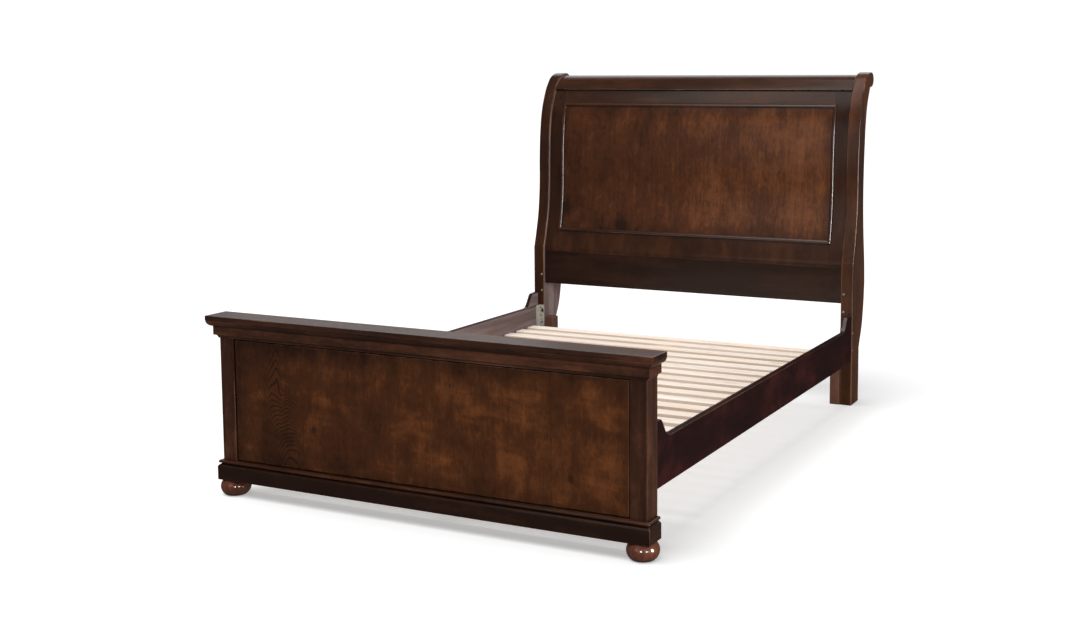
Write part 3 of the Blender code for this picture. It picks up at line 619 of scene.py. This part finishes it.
def footboard():
    woodenBoard("footCap", "foot_cap", "footFrame", "X", footLook["capEase"])
    mouldedRuns()
    for side in ("left", "right"):
        name = "footPost" + side.title()
        woodenBoard(name, f"foot_post_{side}", "footFrame", "Z", footLook["postEase"])
        bunFoot("bunFoot" + side.title(), f"bun_foot_{side}")
    woodenBoard("footTopRail", "foot_top_rail", "frame", "X")
    woodenBoard("footBottomRail", "foot_bottom_rail", "frame", "X")
    groovedPanel("footFrontPanel", "foot_front_panel", -1, panelLook)
    groovedPanel("footBackPanel", "foot_back_panel", 1, panelLook)


footboard()
print("footboard ready")


# Headboard

headLow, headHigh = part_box("head_post_left")[0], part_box("head_post_right")[1]
headLook = {
    "front": headLow.y, "half": headHigh.x,
    "top": headHigh.z, "legDepth": 0.110, "legHeight": 0.243, "knee": 0.625, "hip": 0.530,
    "rollRadius": 0.033, "rollBack": 0.250, "crestStep": 0.012, "recess": 0.010,
    "thickness": 0.022, "postEase": 0.0045, "blockEase": 0.0015, "crestEase": 0.0012,
    # how the curve from the leaning front rises to the roll, and the roll's underside
    "rollRise": 0.020, "rollFullness": 0.6, "rollLead": 0.038, "notch": 0.008, "notchDepth": 0.009,
    # the last of these lightens the headboard's posts and panel towards +X, painted light from the
    # right
    "crestHook": 0.030, "drift": 0.12,
    # share of the way up from the knee to the roll's axis, and the lean back there
    "frontBends": [
        (0.0, 0.0), (0.093, 0.022), (0.217, 0.045), (0.365, 0.0575), (0.538, 0.0605),
        (0.687, 0.0685), (0.823, 0.0885), (0.941, 0.128), (1.0, 0.163),
    ],
    # share of the way up from the leg to the hip, and the depth added to the leg's
    "lowBends": [(0.0, 0.0), (0.12, 0.016), (0.26, 0.0365), (0.41, 0.051), (0.71, 0.068),
                 (1.0, 0.076)],
    # share of the way up from the hip to the roll, and the depth behind the straight front
    "highBends": [
        (0.0, 0.186), (0.11, 0.1785), (0.27, 0.158), (0.43, 0.1472), (0.59, 0.149),
        (0.74, 0.159), (0.845, 0.1705), (0.922, 0.1885), (1.0, 0.2240),
    ],
}
rollAxis = headLook["top"] - headLook["rollRadius"]


def smooth(knots, at):
    # a smooth curve through (place, value) knots
    last = len(knots) - 1
    span = next((i for i in range(last) if at <= knots[i + 1][0]), last - 1)

    def slope(i):
        before, after = max(i - 1, 0), min(i + 1, last)
        return (knots[after][1] - knots[before][1]) / (knots[after][0] - knots[before][0])

    (x0, y0), (x1, y1) = knots[span], knots[span + 1]
    width = x1 - x0
    t = (at - x0) / width
    return (
        y0 * (1 + 2 * t) * (1 - t) ** 2
        + slope(span) * width * t * (1 - t) ** 2
        + y1 * t * t * (3 - 2 * t)
        + slope(span + 1) * width * t * t * (t - 1)
    )


def frontAt(z):
    share = (z - headLook["knee"]) / (rollAxis - headLook["knee"])
    return headLook["front"] + (smooth(headLook["frontBends"], share) if share > 0 else 0.0)


def rollOutline(inset, steps):
    # from the front at the roll's axis over the top and round to its underside
    look = headLook
    start = (frontAt(rollAxis) + inset, rollAxis)
    centre = (look["front"] + look["rollBack"], rollAxis)
    radius = look["rollRadius"] - inset
    top = (centre[0], centre[1] + radius)
    leave = (start[0] + look["rollRise"], start[1] + look["rollFullness"] * radius)
    rise = bezier(start, leave, (top[0] - look["rollLead"], top[1]), top, steps)
    return [start] + rise + arc(centre, radius, 90, -90, 2 * steps)[1:]


def postOutline():
    front, look = headLook["front"], headLook
    points = [(front, 0.0)]
    points += [(frontAt(z), z) for z in spread(look["knee"], rollAxis, 60)[:-1]]
    points += rollOutline(0.0, 14)
    notch = rollAxis - look["rollRadius"]
    points.append((front + look["highBends"][-1][1] + look["notch"], notch - 0.001))
    backTop = notch - look["notchDepth"]
    for share in reversed(spread(0.0, 1.0, 54)):
        z = look["hip"] + share * (backTop - look["hip"])
        points.append((front + smooth(look["highBends"], share), z))
    for share in reversed(spread(0.0, 1.0, 24)[:-1]):
        z = look["legHeight"] + share * (look["hip"] - look["legHeight"])
        points.append((front + look["legDepth"] + smooth(look["lowBends"], share), z))
    points.append((front + look["legDepth"], 0.0))
    return points


def bentMesh(name, low, high, left, right, front, back, steps):
    levels = spread(low, high, steps)
    outline = [(frontAt(z) + front, z) for z in levels]
    outline += [(frontAt(z) + back, z) for z in reversed(levels)]
    return cutMesh(name, outline, left, right)


postBlocksAndLight = {
    # share of the blocks' reach and grey at which each post's front changes tone; the right post's
    # greys are higher, painted light from the right
    "left": [(0.02, 0.52), (0.645, 0.46), (0.80, 0.54)],
    "right": [(0.02, 0.54), (0.645, 0.52), (0.80, 0.66)],
}
postInserts = {
    # distance off the middle and height of the threaded inserts in each post's front
    "places": [(0.757, 0.495), (0.757, 0.417)], "radius": 0.0046, "proud": 0.0004,
    "side": [0.323, 0.246], "sideBack": 0.012, "sideRadius": 0.0035,
}


def headPosts():
    outline = postOutline()
    for side in ("left", "right"):
        node = f"head_post_{side}"
        low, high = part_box(node)
        name = "headPost" + side.title()
        materials = [
            finishFor("frame", "Z", tag=name, blocks=postBlocksAndLight[side],
                      drift=headLook["drift"]),
            finishFor("frame", "Z", 0.55), finishes["postInner"],
        ]
        mesh = cutMesh(name, outline, low.x, high.x)
        piece = addPiece(name, mesh, materials, [node])
        inward = 1 if side == "left" else -1
        # inward faces take the grey finish, a painted sheen
        for face in mesh.polygons:
            if face.normal.x * inward > 0.9:
                face.material_index = 2
        easeEdges(piece, headLook["postEase"], 4, 50.0)
        woodenBoard("headLegBlock" + side.title(), f"head_leg_block_{side}", "leg", "Z",
                    headLook["blockEase"])


def headInserts():
    ring, hole = postInserts["radius"], postInserts["radius"] * 0.55
    proud = postInserts["proud"]
    section = [(hole, 0.003), (hole, -proud), (ring * 0.92, -proud), (ring, -proud * 0.4)]
    section.append((ring, 0.0))
    for side, sign in (("Left", -1), ("Right", 1)):
        for number, (off, z) in enumerate(postInserts["places"], 1):
            name = f"headInsert{side}{number}"
            centre = (sign * off, headLook["front"], z)
            mesh = turnedMesh(name, section, centre, "Y", 24)
            addPiece(name, mesh, [finishes["zinc"]])
        for number, z in enumerate(postInserts["side"], 1):
            name = f"headPlug{side}{number}"
            size = postInserts["sideRadius"]
            dome = [(0.0, 0.0007), (size * 0.6, 0.0005), (size, 0.0), (size, -0.001)]
            dome = [(radius, sign * height) for radius, height in dome]
            centre = (sign * headLook["half"], headLook["front"] + postInserts["sideBack"], z)
            mesh = turnedMesh(name, dome, centre, "X", 20)
            addPiece(name, mesh, [finishes["zinc"]])


fieldPieces = {
    # node: (stain, grain, steps up)
    "head_stile_left": ("frame", "Z", 60),
    "head_stile_right": ("frame", "Z", 60),
    "head_bottom_rail": ("frame", "Z", 12),
    "head_top_rail": ("frame", "X", 14),
    "head_panel": ("plainVeneer", "Z", 48),
}
headPanelLook = {
    "border": 0.09,
    "knots": [(0.10, 1.155, 0.012), (-0.28, 0.94, 0.011), (-0.455, 1.205, 0.008),
              (-0.36, 1.13, 0.006), (0.43, 1.02, 0.009)],
}


def headField():
    back = headLook["recess"] + headLook["thickness"]
    for node, (stain, along, steps) in fieldPieces.items():
        low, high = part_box(node)
        name = "".join(word.title() for word in node.split("_"))
        name = name[0].lower() + name[1:]
        mesh = bentMesh(name, low.z, high.z, low.x, high.x, headLook["recess"], back, steps)
        if node == "head_panel":
            border = (tuple(low), tuple(high), headPanelLook["border"])
            material = finishFor(stain, along, tag=name, border=border,
                                 knots=headPanelLook["knots"], drift=headLook["drift"])
            slot = "panel_veneer"
        else:
            material, slot = finishFor(stain, along), "dark_stain"
        piece = addPiece(name, mesh, [material, finishFor(stain, along, 0.3)], [node])
        easeEdges(piece, 0.0004, 2, 60.0)
    woodenBoard("headLowerBoard", "head_lower_board", "darkFrame", "X", 0.001)


beadLook = {"width": 0.016, "proud": 0.008, "steps": 60}


def makeBead(name, rings, along, node):
    mesh = loftMesh(name, rings)
    mesh.set_sharp_from_angle(angle=math.radians(50))
    addPiece(name, mesh, [finishFor("bead", along)], [node])


def headBeads():
    # half-round beads over the joints round the panel, mitred at the corners
    low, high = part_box("head_bead_left")[0].z - hairGap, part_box("head_bead_left")[1].z + hairGap
    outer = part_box("head_bead_right")[1].x
    back = headLook["recess"] - hairGap
    width, proud = beadLook["width"], beadLook["proud"]
    section = [(width / 2 * (1 - math.cos(t)), proud * math.sin(t))
               for t in (math.radians(angle) for angle in spread(0, 180, 16))]

    def ring(cornerX, cornerZ, inX, inZ):
        points = []
        for across, out in section:
            z = cornerZ + inZ * across
            points.append((cornerX + inX * across, frontAt(z) + back - out, z))
        return points

    for side, sign in (("Left", -1), ("Right", 1)):
        x = sign * outer
        rings = [ring(x, low + hairGap, -sign, 1.0)]
        between = spread(low + width, high - width, beadLook["steps"])
        rings += [ring(x, z, -sign, 0.0) for z in between]
        rings.append(ring(x, high - hairGap, -sign, -1.0))
        makeBead("headBead" + side, rings, "Z", f"head_bead_{side.lower()}")
    for side, z, up in (("Bottom", low, 1.0), ("Top", high, -1.0)):
        reach = outer - hairGap
        rings = [ring(-reach, z, 1.0, up), ring(reach, z, -1.0, up)]
        makeBead("headBead" + side, rings, "X", f"head_bead_{side.lower()}")


def headCrest():
    low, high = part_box("head_crest")
    inset = headLook["crestStep"]
    steps = 12
    levels = spread(low.z, rollAxis, steps)[:-1]
    outline = [(frontAt(z) + inset * i / steps, z) for i, z in enumerate(levels)]
    outline += rollOutline(inset, 14)
    back = headLook["recess"] + headLook["thickness"]
    under = rollAxis - headLook["rollRadius"] + inset
    outline.append((frontAt(under) + back + headLook["crestHook"], under))
    outline.append((frontAt(low.z) + back, low.z))
    materials = [finishFor("frame", "X"), finishFor("frame", "X", 0.4)]
    mesh = cutMesh("headCrest", outline, low.x, high.x)
    piece = addPiece("headCrest", mesh, materials, ["head_crest"])
    easeEdges(piece, headLook["crestEase"], 2, 50.0)


headPosts()
headInserts()
headField()
headBeads()
headCrest()
print("headboard ready")


# Rails, hardware and slats

railLook = {
    "top": 0.341, "earFlat": 0.045, "earLength": 0.125, "earShoulder": 0.40, "earFoot": 0.42,
    "ledge": 0.007, "ease": 0.002, "cleatEase": 0.0015,
}


def railOutline(low, high, ears):
    # the rail from the side, as (Y, Z) points, with or without its two ears
    front, back = low.y, high.y
    top, peak = railLook["top"], high.z
    if not ears:
        return [(front, low.z), (back, low.z), (back, top), (front, top)]
    flat, length = railLook["earFlat"], railLook["earLength"]
    fall = length - flat
    start, end = (flat, peak), (length, top)
    shoulder = (flat + railLook["earShoulder"] * fall, peak)
    foot = (flat + railLook["earFoot"] * fall, top)
    ear = [start] + bezier(start, shoulder, foot, end, 24)
    outline = [(front, low.z), (back, low.z), (back, peak)]
    outline += [(back - along, z) for along, z in ear]
    outline += [(front + along, z) for along, z in reversed(ear)]
    outline.append((front, peak))
    return outline


def sideRails():
    for side, sign in (("left", -1), ("right", 1)):
        node = f"side_rail_{side}"
        low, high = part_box(node)
        name = "sideRail" + side.title()
        materials = [finishFor("rail", "Y"), finishFor("rail", "Y", 0.35), finishes["inner"],
                     finishFor("railEar", "Y")]
        # the ears stand back from the rail's inner face
        inner, outer = (low.x, high.x) if sign > 0 else (high.x, low.x)
        step = inner + sign * railLook["ledge"]
        mesh = cutMesh(name, railOutline(low, high, True), min(step, outer), max(step, outer))
        plain = railOutline(low, high, False)
        ledge = cutMesh(name + "Ledge", plain, min(inner, step), max(inner, step))
        bm = bmesh.new()
        bm.from_mesh(mesh)
        bm.from_mesh(ledge)
        bpy.data.meshes.remove(ledge)
        bm.to_mesh(mesh)
        bm.free()
        mesh.shade_smooth()
        piece = addPiece(name, mesh, materials, [node])
        easeEdges(piece, railLook["ease"], 3, 50.0)
        # the inner faces take the grey finish, partly a painted sheen
        for face in mesh.polygons:
            if face.normal.x * sign < -0.9:
                face.material_index = 2
            elif abs(face.normal.x) < 0.5 and face.center.z > railLook["top"] + 0.001:
                face.material_index = 3
        node, name = f"slat_cleat_{side}", "slatCleat" + side.title()
        mesh = boxMesh(name, *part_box(node))
        cleat = addPiece(name, mesh, [finishes["inner"]], [node])
        easeEdges(cleat, railLook["cleatEase"])


slatLook = {"count": 19, "ease": 0.003, "beamEase": 0.002}


def slats():
    # planed on top, with the front and back edges painted darker, as shade
    for number in range(1, slatLook["count"] + 1):
        node = f"slat_{number:02d}"
        name = f"slat{number:02d}"
        mesh = boxMesh(name, *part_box(node))
        materials = [finishes["pine"], finishes["pineEdge"]]
        piece = addPiece(name, mesh, materials, [node])
        for face in mesh.polygons:
            # faces pointing along Y take the darker copy, painted shade
            face.material_index = int(abs(face.normal.y) > 0.9)
        easeEdges(piece, slatLook["ease"])
        piece.modifiers["eased edges"].material = 0


def centreSupport():
    for node in ["centre_beam"] + [f"centre_leg_{n}" for n in (1, 2, 3)]:
        name = "centreBeam" if node == "centre_beam" else "centreLeg" + node[-1]
        mesh = boxMesh(name, *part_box(node))
        piece = addPiece(name, mesh, [finishes["pine"]], [node])
        easeEdges(piece, slatLook["beamEase"])


boltLook = {
    # share of the flange's width and metres below its top, of the bolt and of each screw
    "plate": 0.003, "across": 0.65, "drop": 0.028, "radius": 0.0075, "height": 0.004,
    "screws": [(0.25, 0.013), (0.32, 0.052), (0.27, 0.089)], "screwRadius": 0.0032,
}


def brackets():
    look = boltLook
    for end, away in (("foot", 1), ("head", -1)):
        for side, sign in (("left", -1), ("right", 1)):
            node = f"rail_bracket_{end}_{side}"
            solid = frame["nodes"][node]
            solid.data.materials.clear()
            solid.data.materials.append(finishes["zinc"])
            low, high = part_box(node)
            y = (low.y if end == "foot" else high.y) + away * look["plate"]
            width = high.x - low.x
            outer = low.x if sign < 0 else high.x
            place = end.title() + side.title()

            def spot(across, drop):
                return (outer - sign * across * width, y, high.z - drop)

            radius, height = look["radius"], look["height"] * away
            head = [(0.0, height), (radius * 0.5, height * 0.92), (radius * 0.85, height * 0.6),
                    (radius, height * 0.15), (radius, 0.0)]
            name = "railBolt" + place
            mesh = turnedMesh(name, head, spot(look["across"], look["drop"]), "Y", 32)
            addPiece(name, mesh, [finishes["bolt"]])
            radius = look["screwRadius"]
            for number, (across, drop) in enumerate(look["screws"], 1):
                head = [(0.0, 0.0002 * away), (radius * 0.4, 0.0002 * away),
                        (radius * 0.9, 0.0008 * away), (radius, 0.0)]
                name = f"bracketScrew{place}{number}"
                mesh = turnedMesh(name, head, spot(across, drop), "Y", 20)
                addPiece(name, mesh, [finishes["bolt"]])


sideRails()
slats()
centreSupport()
brackets()
print("rails and slats ready")


# Floor, light and camera

studio = {
    # place, aim, size and power of each softbox, and whether polished faces mirror it
    "lamps": {
        "key": ((4.0, -5.6, 3.4), (0.0, 0.0, 0.6), (3.0, 2.4), 190.0, False),
        "ceiling": ((-0.35, -0.2, 4.5), (0.25, 0.9, 1.3), (1.6, 4.4), 38.0, True),
        "nearLeft": ((1.45, -4.6, 0.9), (0.8, -1.2, 0.0), (0.46, 0.46), 34.0, True),
        "nearRight": ((3.75, -3.6, 0.9), (0.8, -1.2, 0.0), (0.46, 0.46), 34.0, True),
        "farRight": ((6.0, -1.0, 1.1), (0.3, 0.4, 0.7), (1.2, 2.2), 270.0, True),
        "behind": ((-2.2, 5.6, 4.0), (0.0, 0.0, 0.7), (9.0, 3.0), 125.0, True),
        "front": ((-1.3, -5.8, 2.3), (0.3, 1.0, 1.0), (2.4, 2.4), 13.0, True),
    },
    "sunPower": 1.7, "sunWidth": 45.0, "sunFrom": (-0.24, -0.26, 1.0),
    # the white surroundings, as seen, as light and as polished faces mirror them
    "seen": 1.05, "fill": 0.45, "mirrored": 0.06,
    # wide flat pieces that would mirror farRight as one white sheet from the other side
    "flat": ("headStile", "headPanel", "headTopRail", "headBottomRail", "headLower", "footCap"),
    "floorGlow": 0.33, "floorShade": 0.90, "floorRadius": 40.0, "floorDrop": 0.0005,
}


def lampAt(name, place, aim, size, power, mirrored, reached):
    data = bpy.data.lights.new(name, "AREA")
    data.shape = "RECTANGLE"
    data.size, data.size_y = size
    data.energy = power
    lamp = bpy.data.objects.new(name, data)
    lamp.location = place
    lamp.rotation_euler = (Vector(aim) - Vector(place)).to_track_quat("-Z", "Y").to_euler()
    lamp.visible_camera = False
    lamp.visible_glossy = mirrored
    lamp.light_linking.receiver_collection = reached
    bpy.context.scene.collection.objects.link(lamp)


def lightGroup(name, objects, state):
    group = bpy.data.collections.new(name)
    for obj in objects:
        group.objects.link(obj)
    for link in group.collection_objects:
        link.light_linking.link_state = state
    return group


def studioLight(ground):
    # only the overhead light reaches the floor, so that its shadow stays under the bed
    spared = lightGroup("sparedFloor", [ground], "EXCLUDE")
    field = [obj for obj in bpy.data.objects if obj.name.startswith(studio["flat"])]
    edges = lightGroup("sparedField", [ground] + field, "EXCLUDE")
    buns = [obj for obj in bpy.data.objects if obj.name.startswith("bunFoot")]
    reached = {"farRight": edges, "nearLeft": lightGroup("polishedFeet", buns, "INCLUDE")}
    reached["nearRight"] = reached["nearLeft"]
    for name, setting in studio["lamps"].items():
        lampAt(name, *setting, reached.get(name, spared))
    data = bpy.data.lights.new("overhead", "SUN")
    data.energy = studio["sunPower"]
    data.angle = math.radians(studio["sunWidth"])
    sun = bpy.data.objects.new("overhead", data)
    sun.rotation_euler = Vector(studio["sunFrom"]).to_track_quat("Z", "Y").to_euler()
    sun.visible_glossy = False
    bpy.context.scene.collection.objects.link(sun)
    surroundings()


def surroundings():
    world = bpy.data.worlds.new("studio")
    bpy.context.scene.world = world
    world.use_nodes = True
    tree = world.node_tree
    tree.nodes.clear()

    def glow(strength):
        node = tree.nodes.new("ShaderNodeBackground")
        node.inputs["Strength"].default_value = studio[strength]
        node.inputs["Color"].default_value = (1.0, 1.0, 1.0, 1.0)
        return node

    path = tree.nodes.new("ShaderNodeLightPath")
    last = glow("fill")
    for ray, strength in (("Is Glossy Ray", "mirrored"), ("Is Camera Ray", "seen")):
        both = tree.nodes.new("ShaderNodeMixShader")
        tree.links.new(path.outputs[ray], both.inputs[0])
        tree.links.new(last.outputs[0], both.inputs[1])
        tree.links.new(glow(strength).outputs[0], both.inputs[2])
        last = both
    out = tree.nodes.new("ShaderNodeOutputWorld")
    tree.links.new(last.outputs[0], out.inputs["Surface"])


def floor():
    bm = bmesh.new()
    bmesh.ops.create_circle(bm, cap_ends=True, segments=64, radius=studio["floorRadius"])
    mesh = meshFrom(bm, "floor")
    ground = bpy.data.objects.new("floor", mesh)
    ground.location.z = -studio["floorDrop"]
    ground.visible_glossy = ground.visible_diffuse = False
    bpy.context.scene.collection.objects.link(ground)
    finish = Finish("paleFloor")
    white, shade = (1.0, 1.0, 1.0, 1.0), studio["floorShade"]
    glow = finish.make("Emission", {}, {"Color": white, "Strength": studio["floorGlow"]})
    matt = finish.make("BsdfDiffuse", {}, {"Color": (shade, shade, shade, 1.0)})
    lit = finish.make("AddShader", {}, {0: glow, 1: matt})
    finish.make("OutputMaterial", {}, {"Surface": lit})
    mesh.materials.append(finish.material)
    return ground


cameraLook = {
    "place": (2.4541, -4.7543, 1.4246), "turn": 24.752, "tilt": 5.996,
    "lens": 45.264, "film": 36.0, "shift": (-0.1019, -0.0898), "range": (0.05, 100.0),
}


def camera():
    data = bpy.data.cameras.new("camera")
    data.sensor_width = cameraLook["film"]
    data.lens = cameraLook["lens"]
    data.shift_x, data.shift_y = cameraLook["shift"]
    data.clip_start, data.clip_end = cameraLook["range"]
    eye = bpy.data.objects.new("camera", data)
    eye.location = cameraLook["place"]
    turn, tilt = math.radians(cameraLook["turn"]), math.radians(cameraLook["tilt"])
    eye.rotation_euler = (math.pi / 2 - tilt, 0.0, turn)
    bpy.context.scene.collection.objects.link(eye)
    bpy.context.scene.camera = eye


studioLight(floor())
camera()
bpy.context.scene.view_settings.view_transform = "Standard"
print("studio ready")
